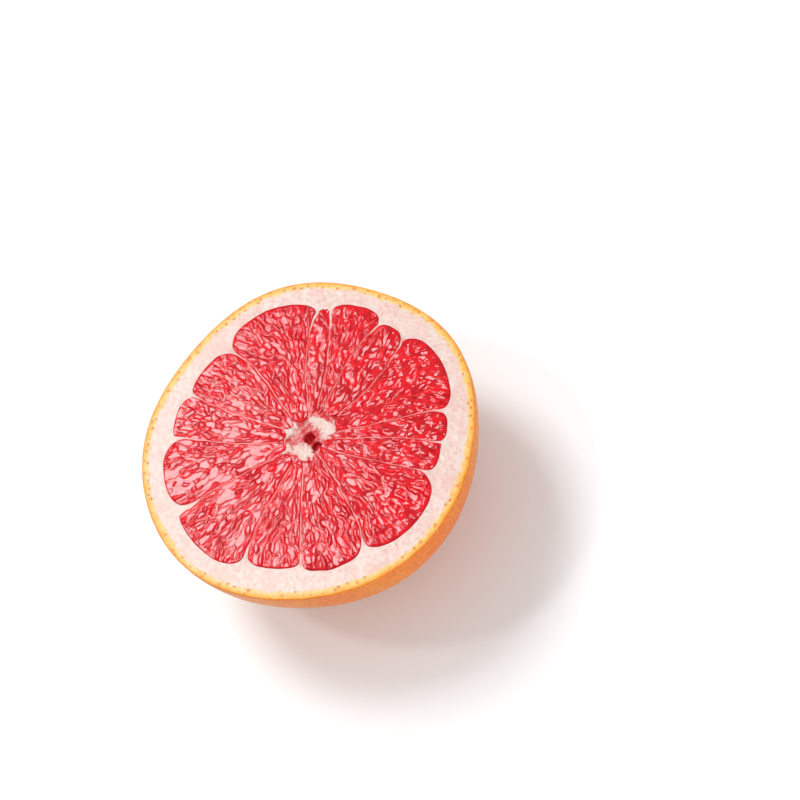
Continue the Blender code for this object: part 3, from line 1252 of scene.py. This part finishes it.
@dataclass
class Core:
    """The white centre, with its two dark red pits and the hollows beside them."""

    form: FruitForm
    columns: int = 260
    rings: int = 64
    reach: float = 11.5 * MM
    pit_depth: float = 1.9
    pits: tuple[Patch, ...] = (Patch(0.3, -0.5, 1.9, 2.1, 1.0), Patch(0.8, -4.6, 1.7, 1.7, 1.0))
    hollows: tuple[Patch, ...] = (
        Patch(-4.6, 2.2, 1.9, 1.9, 1.1),
        Patch(-2.4, 4.2, 1.6, 1.6, 0.6),
        Patch(1.6, 3.6, 2.0, 2.6, 0.8),
        Patch(0.6, -2.4, 2.9, 4.0, 0.8),
    )
    whites: tuple[Patch, ...] = (
        Patch(4.3, 4.4, 1.3, 1.5, 1.0),
        Patch(5.2, 2.4, 1.5, 1.7, 1.0),
        Patch(6.3, 0.8, 1.9, 1.7, 1.0),
        Patch(6.6, -1.4, 2.1, 1.9, 1.0),
        Patch(6.9, -3.2, 1.8, 1.8, 1.0),
        Patch(5.4, -4.5, 1.4, 1.2, 1.0),
        Patch(-7.0, 0.4, 1.2, 1.3, 1.3),
        Patch(-5.4, -1.7, 1.7, 1.4, 1.0),
        Patch(-3.2, -2.4, 1.9, 1.4, 1.0),
        Patch(-2.6, -4.4, 1.6, 1.9, 1.0),
        Patch(-4.6, -4.4, 1.6, 1.7, 1.0),
        Patch(-1.9, -6.3, 1.2, 1.3, 1.0),
        Patch(-1.4, 6.0, 1.1, 1.8, 1.1),
        Patch(-3.4, 5.6, 1.6, 1.1, 1.1),
        Patch(-5.4, 4.4, 1.4, 1.0, 1.1),
        Patch(-9.0, 0.0, 1.8, 0.6, 0.9),
    )
    browns: tuple[Patch, ...] = (Patch(-4.6, 2.2, 1.7, 1.7, 0.6), Patch(-2.4, 4.2, 1.5, 1.5, 0.9))

    def build(self) -> bpy.types.Object:
        """Makes the core.

        Returns:
            The finished mesh, without its material.
        """
        form = self.form
        rings: list[Ring] = [
            lambda angle, share=step / self.rings: form.point(angle, self.reach * share, form.height)
            for step in range(self.rings + 1)
        ]
        piece, _, _ = lathe("core", self.columns, rings)
        weld(piece)
        places = vertex_places(piece)
        x = (places[:, 0] - form.axis[0]) / MM
        y = (places[:, 1] - form.axis[1]) / MM
        noise = SmoothNoise(53)
        bent_x, bent_y = noise.bend(x, y, ((0.45, 1.5), (0.35, 0.5)), 40)
        pit = np.zeros(len(x))
        pit_x, pit_y = 0.6 * x + 0.4 * bent_x, 0.6 * y + 0.4 * bent_y
        for hole in self.pits:
            away = np.hypot((pit_x - hole.x) / hole.wide, (pit_y - hole.y) / hole.tall)
            pit = np.maximum(pit, 1 - smoothstep(0.74, 1.06, away))
        hollow = sum(patch.at(bent_x, bent_y) for patch in self.hollows)
        white = sum(patch.at(bent_x, bent_y) for patch in self.whites)
        white += 0.45 * noise.at(x / 0.8 + 60, y / 0.8) + 0.30 * noise.at(x / 0.3 + 60, y / 0.3)
        white = smoothstep(0.25, 1.15, white) * (1 - pit)
        brown = np.clip(sum(patch.at(bent_x, bent_y) for patch in self.browns), 0.0, 1.0)
        fluff = 0.10 * noise.at(x / 0.45, y / 0.45) + 0.16 * noise.at(x / 1.1, y / 1.1)
        lumps = 0.35 * noise.at(x / 0.9 + 9, y / 0.9) * pit
        reach = np.hypot(x, y)
        sink = 0.5 * smoothstep(8.0, 11.0, reach)
        rise = 0.2 * white + fluff - hollow * (1 - 0.8 * white)
        places[:, 2] += (rise - self.pit_depth * pit + lumps - sink) * MM
        move_vertices(piece, places)
        stain = 0.70 - 0.3 * brown + 0.3 * noise.at(x / 0.8, y / 0.8 + 30) + 0.4 * smoothstep(5.0, 8.5, reach)
        chalk = 0.75 + 0.25 * noise.at(x / 0.6, y / 0.6 + 80)
        blush = np.clip(stain, 0.0, 1.0) * (1 - white) - white * chalk
        paint(piece, "blush", np.maximum(blush, pit * 2.0))
        paint(piece, "border", np.zeros(len(places)))
        drop_walls(piece, form.axis, ((25.0 * MM, 0.8), (13.0 * MM, 0.8)))
        return piece


@dataclass
class Membranes:
    """The thin walls between the segments, from the core to the pith."""

    form: FruitForm
    anatomy: Anatomy
    rows: int = 190
    columns: int = 8
    beyond: float = 3.2 * MM  # how far a membrane runs on into the pith

    def build(self) -> list[bpy.types.Object]:
        """Makes every membrane.

        Returns:
            The finished meshes, without their material.
        """
        return [self.build_one(number) for number in range(len(MEMBRANES))]

    def build_one(self, number: int) -> bpy.types.Object:
        """Makes one membrane.

        Args:
            number: Which membrane.

        Returns:
            The finished mesh, without its material.
        """
        form = self.form
        piece, column, row = add_sheet(f"membrane_{number + 1:02d}", self.columns, self.rows)
        start = (min(SEGMENTS[number].tip, SEGMENTS[number - 1].tip) - 0.2) * MM
        reach = start + (form.corner_radius + self.beyond - start) * row
        across = column * 2 - 1
        width = self.anatomy.thickness(number, reach) + 0.2 * MM
        angle = self.anatomy.course(number, reach) + across * width / 2 / reach
        noise = SmoothNoise(61)
        line = number * 6.1
        rise = 0.17 + 0.07 * noise.at(reach / (3.0 * MM), line)
        rise += 0.03 * noise.at(reach / (0.8 * MM), line + 2)
        ahead = 1.6 * (1 - smoothstep(0.0, 3.5 * MM, reach - start))
        inward = smoothstep(0.0, 3.0 * MM, form.corner_radius + 1.0 * MM - reach)
        z = form.height + (rise * inward - ahead - 0.12 * across**2) * MM
        move_vertices(piece, form.point(angle, reach, z))
        stain = 0.72 - 0.72 * smoothstep(0.72, 0.96, row + 0.12 * noise.at(reach / (2.5 * MM), line + 4))
        paint(piece, "blush", np.clip(stain, 0.0, 0.9))
        paint(piece, "border", np.zeros(len(row)))
        drop_walls(piece, form.axis, ((14.0 * MM, 1.0),))
        return piece


# ---------------------------------------------------------------------------------------------------------
# Pulp
# ---------------------------------------------------------------------------------------------------------


@dataclass
class Sacs:
    """Juice sacs packed over one segment, as arrays with one entry for each sac, in millimetres."""

    x: Array
    y: Array
    lean: Array  # direction of the long axis, in radians
    width: Array
    length: Array
    level: Array
    dome: Array
    tone: Array
    tilt: Array

    BATCH = 20000  # points that are compared with every sac at once

    def plus(self, **one: float) -> "Sacs":
        """The same sacs and one more, whose measures are given by name."""
        return Sacs(**{name: np.append(getattr(self, name), value) for name, value in one.items()})

    def nearest(self, x: Array, y: Array) -> tuple[Array, Array, Array]:
        """Finds which sac each point belongs to.

        Args:
            x: Points' first coordinate.
            y: Points' second coordinate.

        Returns:
            The sac's number, how far it is from that sac's middle as a share of its size, and by how much the
            second nearest sac is further.
        """
        owner = np.empty(len(x), int)
        first = np.empty(len(x))
        second = np.empty(len(x))
        for start in range(0, len(x), self.BATCH):
            part = slice(start, start + self.BATCH)
            dx = x[part, None] - self.x
            dy = y[part, None] - self.y
            along = (dx * np.cos(self.lean) + dy * np.sin(self.lean)) / self.length
            across = (dy * np.cos(self.lean) - dx * np.sin(self.lean)) / self.width
            share = np.hypot(along, across)
            two = np.partition(share, 1, axis=1)[:, :2]
            owner[part] = share.argmin(axis=1)
            first[part] = two[:, 0]
            second[part] = two[:, 1]
        return owner, first, second - first


@dataclass
class Pulp:
    """The red flesh, one closed piece for each segment."""

    form: FruitForm
    anatomy: Anatomy
    cell: float = 0.14 * MM  # the sheet's mesh size
    crown: float = 0.25  # millimetres that a segment's middle stands over its outline
    lift: float = 0.07  # millimetres that its outline stands over the cut
    tries: int = 7000  # places that are tried for a sac
    spacing: float = 0.75  # how near two sacs may come, as a squared share of their size
    stray: float = 0.3  # how far a sac's direction strays, in radians
    whole_share: float = 0.5  # share of the sacs that the knife left whole
    bead_share: float = 1.6  # a round sac's size for its packing, by its radius

    def build(self) -> list[bpy.types.Object]:
        """Makes every segment.

        Returns:
            The finished meshes, without their material.
        """
        return [self.build_one(number) for number in range(len(SEGMENTS))]

    def direction(self, plan: SegmentPlan, x: Array, y: Array) -> Array:
        """Which way the sacs lie.

        Args:
            plan: The segment.
            x: First coordinate in millimetres from the axis.
            y: Second coordinate.

        Returns:
            Direction in radians.
        """
        twice = np.exp(2j * np.arctan2(y, x))
        if plan.focus is not None:
            beyond = np.hypot(x, y) - math.hypot(*plan.focus)
            fan = plan.fan * smoothstep(-2.0, 4.0, beyond)
            twice = twice * (1 - fan) + np.exp(2j * np.arctan2(y - plan.focus[1], x - plan.focus[0])) * fan
        return np.angle(twice) / 2

    def pack_sacs(self, number: int) -> Sacs:
        """Fills one segment with sacs that keep clear of each other.

        Args:
            number: Which segment.

        Returns:
            The sacs.
        """
        plan = SEGMENTS[number]
        rng = np.random.default_rng(100 + number)
        tries = self.tries
        across = rng.uniform(-1.0, 1.0, tries)
        out = np.sqrt(rng.uniform(0.0, 1.0, tries))
        angle, reach = self.anatomy.place(number, across, out)
        x = reach * np.cos(angle) / MM
        y = reach * np.sin(angle) / MM
        lean = self.direction(plan, x, y) + rng.normal(0.0, self.stray, tries)
        width = plan.sac_width * rng.uniform(0.7, 1.45, tries)
        length = plan.sac_length * rng.uniform(0.6, 1.35, tries)
        kept: list[int] = []
        for index in range(tries):
            if kept:
                dx, dy = x[kept] - x[index], y[kept] - y[index]
                turn = lean[index]
                along = (dx * math.cos(turn) + dy * math.sin(turn)) / (length[kept] + length[index]) * 2
                side = (dy * math.cos(turn) - dx * math.sin(turn)) / (width[kept] + width[index]) * 2
                if np.min(along**2 + side**2) < self.spacing:
                    continue
            kept.append(index)
        chosen = np.array(kept)
        count = len(chosen)
        sacs = Sacs(
            x[chosen],
            y[chosen],
            lean[chosen],
            width[chosen],
            length[chosen],
            rng.uniform(-0.08, 0.02, count),
            self.domes(rng, count),
            rng.uniform(0.0, 1.0, count),
            rng.normal(0.0, 0.06, count),
        )
        for bead_x, bead_y, radius in plan.beads:
            size = radius * self.bead_share
            place = {"x": bead_x, "y": bead_y, "lean": 0.0, "width": size, "length": size}
            sacs = sacs.plus(**place, level=-0.06, dome=0.26, tone=0.2, tilt=0.0)
        return sacs

    def domes(self, rng: np.random.Generator, count: int) -> Array:
        """How far each sac's middle stands over its border, or lies under it where the knife opened it."""
        whole = rng.uniform(0, 1, count) < self.whole_share
        return np.where(whole, rng.uniform(0.09, 0.27, count), -rng.uniform(0.04, 0.12, count))

    def build_one(self, number: int) -> bpy.types.Object:
        """Makes one segment.

        Args:
            number: Which segment.

        Returns:
            The finished mesh, without its material.
        """
        form = self.form
        plan = SEGMENTS[number]
        spread = float(np.ptp(self.anatomy.place(number, np.array([-0.9, 0.9]), np.ones(2))[0]))
        columns = max(24, round(spread * plan.peak * MM * 1.1 / self.cell))
        rows = round((plan.peak - plan.tip) * MM / self.cell)
        piece, column, row = add_sheet(plan.name, columns, rows)
        # Even steps of an angle put more columns near the two membranes, where the outer end turns most.
        across = -np.cos(column * math.pi) * 0.35 + (column * 2 - 1) * 0.65
        angle, reach = self.anatomy.place(number, across, row)
        side_inset, end_inset = self.insets(number, across, reach)
        height, tone, wall, gutter_shade = self.relief(number, angle, reach, side_inset, end_inset)
        height = blur(height, column, row, columns, rows)
        places = form.point(angle, reach, form.height + height * MM)
        move_vertices(piece, places)
        paint(piece, "tone", tone)
        paint(piece, "wall", wall)
        paint(piece, "gutter_shade", gutter_shade)
        grain = np.stack((angle * 60.0, reach / (3.0 * MM), np.full(len(angle), float(number))), axis=-1)
        paint(piece, "grain", grain)
        drop_walls(piece, form.axis, ((12.0 * MM, 0.96), (14.0 * MM, 0.8), (8.0 * MM, 0.6)))
        return piece

    def insets(self, number: int, across: Array, reach: Array) -> tuple[Array, Array]:
        """How far a point lies inside its segment's outline.

        Args:
            number: Which segment.
            across: From -1 to 1 between the membranes.
            reach: Distance from the axis.

        Returns:
            Distance in millimetres from the nearest membrane or the tip, and from the outer end.
        """
        half = (self.anatomy.course(number + 1, reach) - self.anatomy.course(number, reach)) / 2 * reach
        side = (1 - np.abs(across)) * half
        tip = reach - self.anatomy.inner_end(number, across)
        end = self.anatomy.outer_end(number, across) - reach
        return np.minimum(side, np.maximum(tip, 0.0)) / MM, end / MM

    def relief(
        self, number: int, angle: Array, reach: Array, side_inset: Array, end_inset: Array
    ) -> tuple[Array, Array, Array, Array]:
        """The heights and colour masks of one segment's wet surface.

        Args:
            number: Which segment.
            angle: Direction in radians.
            reach: Distance from the axis.
            side_inset: How far the nearest membrane is, in millimetres.
            end_inset: How far the outer end is.

        Returns:
            Height in millimetres over the cut, the tone and wall masks, and a mask of painted shade for the
            creases between sacs and the outer end.
        """
        plan = SEGMENTS[number]
        noise = SmoothNoise(200 + number)
        x = reach * np.cos(angle) / MM
        y = reach * np.sin(angle) / MM
        sacs = self.pack_sacs(number)
        bent_x, bent_y = noise.bend(x, y, ((0.55, 4.5), (0.18, 1.3)), 70)
        owner, share, margin = sacs.nearest(bent_x, bent_y)
        turn = sacs.lean[owner]
        dx, dy = bent_x - sacs.x[owner], bent_y - sacs.y[owner]
        along = dx * np.cos(turn) + dy * np.sin(turn)
        side = dy * np.cos(turn) - dx * np.sin(turn)
        gap = margin * sacs.width[owner] / 2
        dome = sacs.dome[owner]
        half = sacs.width[owner] * 0.43
        rounded = (1 - (1 - np.clip(gap / half, 0.0, 1.0)) ** 2) ** 0.8
        bowl = smoothstep(0.0, 1.0, gap / half)
        crest = sacs.level[owner] + np.where(dome > 0, dome * rounded, dome * bowl) + sacs.tilt[owner] * side
        crest += 0.03 * np.exp(-((gap / 0.14) ** 2)) * (dome < 0)
        crease = noise.at(side / 0.42 + owner * 3.7, along / 2.6)
        crest += 0.006 * crease * rounded
        film = plan.film + 0.02 * noise.at(x / 2.6 + 20, y / 2.6) + 0.10 * noise.at(x / 6.0, y / 6.0 + 20)
        surface = smooth_max(crest, film, 0.012)
        fine = noise.at(side / 0.30 + owner * 1.3, along / 1.5 + 30) * 0.003
        fine += noise.at(x / 1.1, y / 1.1 + 60) * 0.03
        surface += fine
        ramp = smoothstep(0.0, 0.7, side_inset) * smoothstep(0.0, 1.1, end_inset)
        bulge = np.clip(end_inset / plan.shoulder, 0.0, 1.0)
        bulge = np.sqrt(np.clip(1 - (1 - bulge) ** 2, 0.0, 1.0))
        groove = 0.10 * (1 - smoothstep(0.0, 0.5, side_inset))
        height = self.lift + (self.crown - groove) * bulge + surface * ramp
        proud = smoothstep(-0.01, 0.04, crest - film)
        patchy = smoothstep(-0.5, 0.6, noise.at(x / 2.0, y / 2.0 + 50))
        wall = np.exp(-((margin / 0.10) ** 2)) * proud * patchy
        # painted shade: a mask for where a sac meets the juice film and down its flanks, which darkens the
        # colour and thins the coat
        gutter_shade = np.exp(-(((crest - film - 0.02) / 0.025) ** 2)) * 0.9 + (1 - rounded) ** 3 * proud * 0.6
        tone = np.clip(sacs.tone[owner] * 0.8 + 0.2 * noise.at(x / 1.5, y / 1.5) + 0.1, 0.0, 1.0)
        tone += 1 - smoothstep(-0.02, 0.02, crest - film)
        # painted shade: a dark outline along the outer end, where the pulp slopes down to the pith
        edge = np.exp(-((end_inset / 0.35) ** 2))
        return height, tone, wall * ramp, np.clip(gutter_shade * ramp + edge, 0.0, 1.0)


# ---------------------------------------------------------------------------------------------------------
# Studio
# ---------------------------------------------------------------------------------------------------------


@dataclass(frozen=True)
class Panel:
    """A soft light. It shines at the middle of the cut face."""

    name: str
    beam: tuple[float, float, float]  # from the cut face towards the panel
    side: tuple[float, float, float]  # roughly along the panel's narrow side
    distance: float
    narrow: float
    long: float
    watts: float


@dataclass
class Studio:
    """Floor, lights and camera."""

    form: FruitForm
    floor_size: float = 6.0
    floor_colour: Colour = (0.92, 0.94, 0.95)
    sky: float = 0.60
    tilt: float = 30.43  # degrees between the view and the fruit's axis
    roll: float = 36.0
    distance_in_radii: float = 12.0
    lens: float = 94.2
    aim_right: float = 2.55  # degrees that the camera looks to the right of the fruit
    aim_up: float = 1.0
    panels: tuple[Panel, ...] = (
        Panel("key", (-0.111, 0.518, 0.848), (-0.985, 0.129, -0.076), 1.60, 0.48, 0.62, 13.2),
        Panel("spark", (-0.45, 0.30, 0.84), (-0.985, 0.129, -0.076), 1.60, 0.16, 0.16, 3.0),
        Panel("fill", (0.20, -0.95, 0.24), (1.0, 0.2, 0.0), 2.00, 1.30, 0.90, 17.0),
    )

    def build(self) -> None:
        """Makes the studio."""
        self.lay_floor()
        self.light()
        self.set_camera()
        bpy.context.scene.view_settings.view_transform = "Standard"

    def lay_floor(self) -> None:
        """A large, plain, pale floor."""
        bpy.ops.object.select_all(action="DESELECT")
        bpy.ops.mesh.primitive_plane_add(size=self.floor_size)
        floor = bpy.context.object
        floor.name = "floor"
        material, bench, shader = new_finish("floor")
        cloud = bench.noise(bench.place(), 3.0)
        colour = bench.mix(bench.maths("MULTIPLY", cloud, 0.02), self.floor_colour, (1.0, 1.0, 1.0))
        bench.feed(shader.inputs["Base Color"], colour)
        set_constants(shader, Roughness=0.7)
        floor.data.materials.append(material)

    def light(self) -> None:
        """Soft panels and an even sky."""
        target = Vector((0.0, 0.0, self.form.height))
        for panel in self.panels:
            data = bpy.data.lights.new(panel.name, "AREA")
            data.shape = "RECTANGLE"
            data.size = panel.narrow
            data.size_y = panel.long
            data.energy = panel.watts
            lamp = bpy.data.objects.new(panel.name, data)
            beam = Vector(panel.beam).normalized()
            up = beam.cross(Vector(panel.side)).normalized()
            across = up.cross(beam)
            lamp.location = target + beam * panel.distance
            lamp.rotation_mode = "QUATERNION"
            lamp.rotation_quaternion = Matrix((across, up, beam)).transposed().to_quaternion()
            bpy.context.scene.collection.objects.link(lamp)
        world = bpy.data.worlds.new("studio")
        world.use_nodes = True
        world.node_tree.nodes["Background"].inputs["Color"].default_value = (1.0, 1.0, 1.0, 1.0)
        world.node_tree.nodes["Background"].inputs["Strength"].default_value = self.sky
        bpy.context.scene.world = world

    def set_camera(self) -> None:
        """The camera looks down on the cut face from the front, rolled, with the fruit left of the middle."""
        form = self.form
        data = bpy.data.cameras.new("camera")
        data.lens = self.lens
        data.sensor_width = 36.0
        data.clip_start = 0.01
        data.clip_end = 20.0
        camera = bpy.data.objects.new("camera", data)
        middle = Vector((form.axis[0], form.axis[1], form.height))
        tilt = math.radians(self.tilt)
        back = Vector((0.0, -math.sin(tilt), math.cos(tilt)))
        camera.location = middle + back * self.distance_in_radii * form.cut_radius
        look = (-back).to_track_quat("-Z", "Y")
        roll = Quaternion((0.0, 0.0, 1.0), -math.radians(self.roll))
        right = Quaternion((0.0, 1.0, 0.0), -math.radians(self.aim_right))
        up = Quaternion((1.0, 0.0, 0.0), math.radians(self.aim_up))
        camera.rotation_mode = "QUATERNION"
        camera.rotation_quaternion = look @ roll @ right @ up
        bpy.context.scene.collection.objects.link(camera)
        bpy.context.scene.camera = camera


def main() -> None:
    """Builds the fruit, dresses it and sets up the studio."""
    logging.basicConfig(level=logging.INFO, format="%(name)s: %(message)s")
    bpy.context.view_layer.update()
    form = FruitForm(*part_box(NODE))
    anatomy = Anatomy(form)
    border = Border(form)
    effects = SharedEffects()
    peel_finish = PeelFinish().build(effects)
    pith_finish = PithFinish().build(effects)
    membrane_finish = PithFinish(name="membrane", glow=0.1 * MM, blush=display(246, 124, 124)).build(effects)
    pulp_finish = PulpFinish().build(effects)
    hand_over(Peel(form, border).build(), peel_finish)
    hand_over(Pith(form, anatomy, border).build(), pith_finish)
    hand_over(Core(form).build(), pith_finish)
    for membrane in Membranes(form, anatomy).build():
        hand_over(membrane, membrane_finish)
    for segment in Pulp(form, anatomy).build():
        hand_over(segment, pulp_finish)
    Studio(form).build()


if __name__ == "__main__":
    main()
